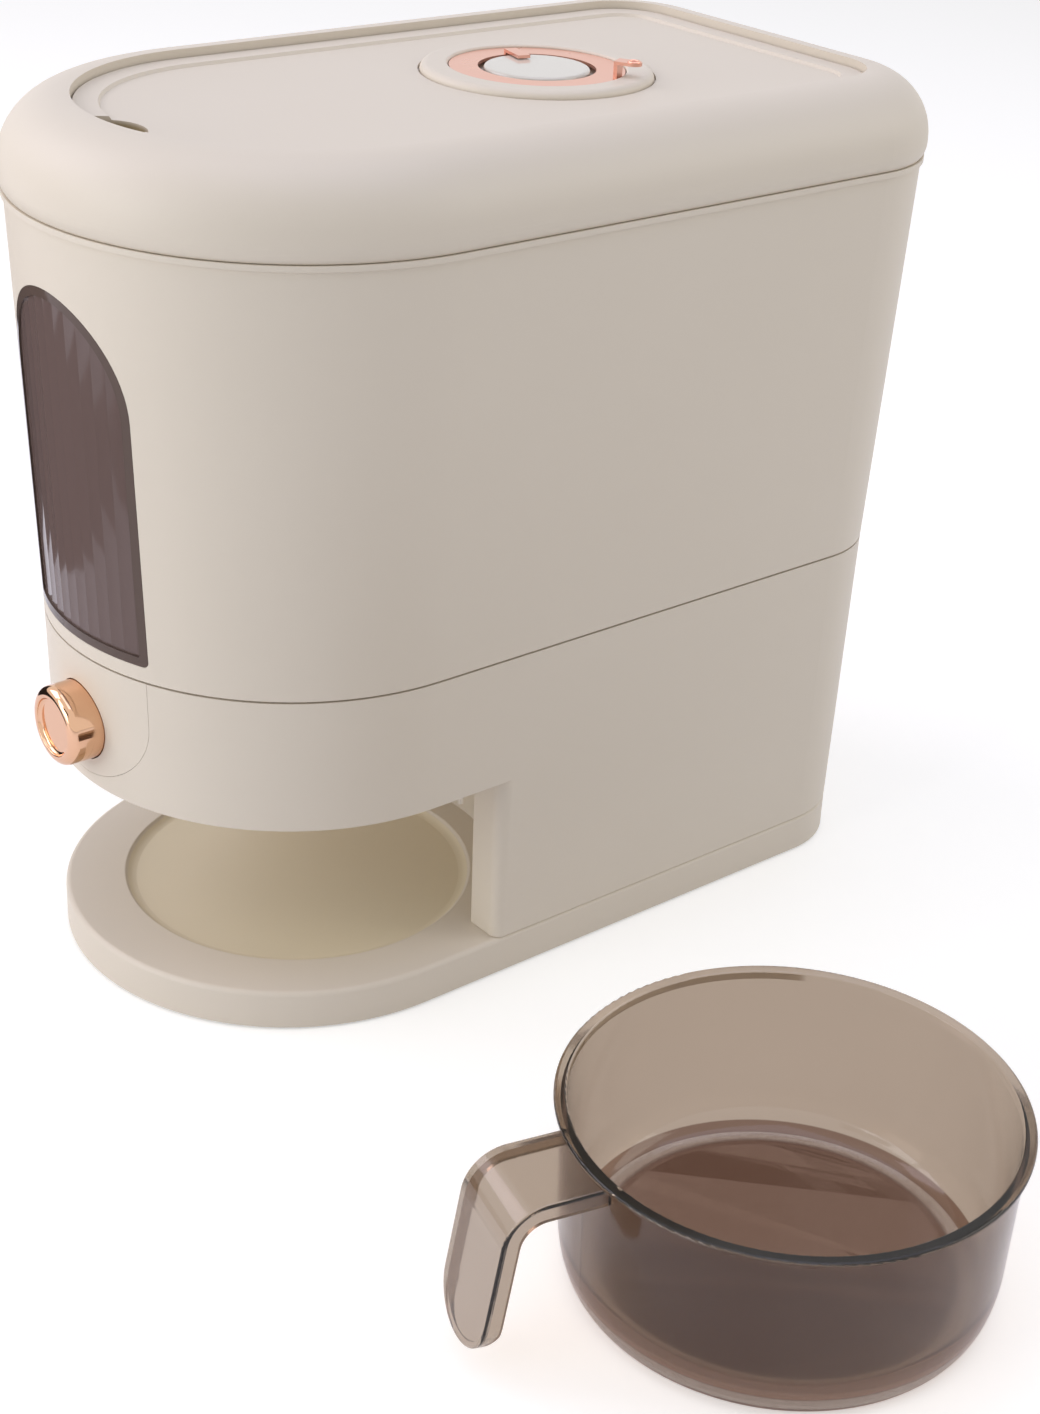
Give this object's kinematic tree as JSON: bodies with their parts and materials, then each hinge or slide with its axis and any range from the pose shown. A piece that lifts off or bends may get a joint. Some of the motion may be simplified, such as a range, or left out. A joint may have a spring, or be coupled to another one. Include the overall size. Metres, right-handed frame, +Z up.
{
  "type": "rice dispenser with drawer",
  "caption": "Push-button grain bin with a round front, smoky arched window, date dial on a flip-open lid and a measuring cup with a strap handle.",
  "frame": {"origin": "on the floor, under the middle of the dispenser's base", "axes": "+Z up, the round front with the button faces -Y, +X is towards the side where the cup stands"},
  "size_m": [0.4478, 0.3493, 0.3295],
  "materials": {
    "cream": "fine matte",
    "cream_inner": "satin",
    "inner_plastic": "satin",
    "rose_gold": "polished plating",
    "smoky_window": "smoky translucent",
    "smoky_cup": "smoky translucent",
    "silicone": "soft matte",
    "rubber": "soft matte",
    "steel": "bright zinc"
  },
  "bodies": {
    "dispenser": {"base_plate": "cream", "bottom_cover": "cream", "foot_pads": "rubber", "base_screws": "steel", "cover_screws": "steel", "lower_housing": "cream", "button_panel": "cream", "gate_frame": "inner_plastic", "gate_screws": "steel", "outlet_chute": "inner_plastic", "hopper": "cream_inner", "upper_bin": "cream", "window_panel": "smoky_window", "top_frame": "cream"},
    "dispense_slide": {"button_cap": "rose_gold", "gate_plunger": "inner_plastic", "gate_slide": "inner_plastic", "return_spring": "steel"},
    "flap": {"flap_lid": "cream", "flap_liner": "cream_inner", "lid_seal": "silicone", "hinge_pins": "steel", "dial_ring": "rose_gold"},
    "month_ring": {"dial_bezel": "cream"},
    "day_disc": {"dial_disc": "cream", "dial_screw": "steel"},
    "cup": {"measuring_cup": "smoky_cup"}
  },
  "joints": [
    {"name": "button_slide", "type": "slide", "parent": "dispenser", "child": "dispense_slide", "axis": [0, 1, 0], "range_m": [0, 0.01], "stiffness_N_per_m": 400, "springref_m": -0.004, "deforming": ["return_spring"]},
    {"name": "flap_hinge", "type": "hinge", "parent": "dispenser", "child": "flap", "pos_m": [0, 0.126, 0.3189], "axis": [-1, 0, 0], "range_deg": [0, 95]},
    {"name": "month_turn", "type": "hinge", "parent": "flap", "child": "month_ring", "pos_m": [0, 0.036, 0.3195], "axis": [0, 0, 1], "continuous": true},
    {"name": "day_turn", "type": "hinge", "parent": "flap", "child": "day_disc", "pos_m": [0, 0.036, 0.3195], "axis": [0, 0, 1], "continuous": true},
    {"name": "cup_lift", "type": "slide", "parent": "dispenser", "child": "cup", "axis": [0, 0, 1], "range_m": [0, 0.15]}
  ]
}
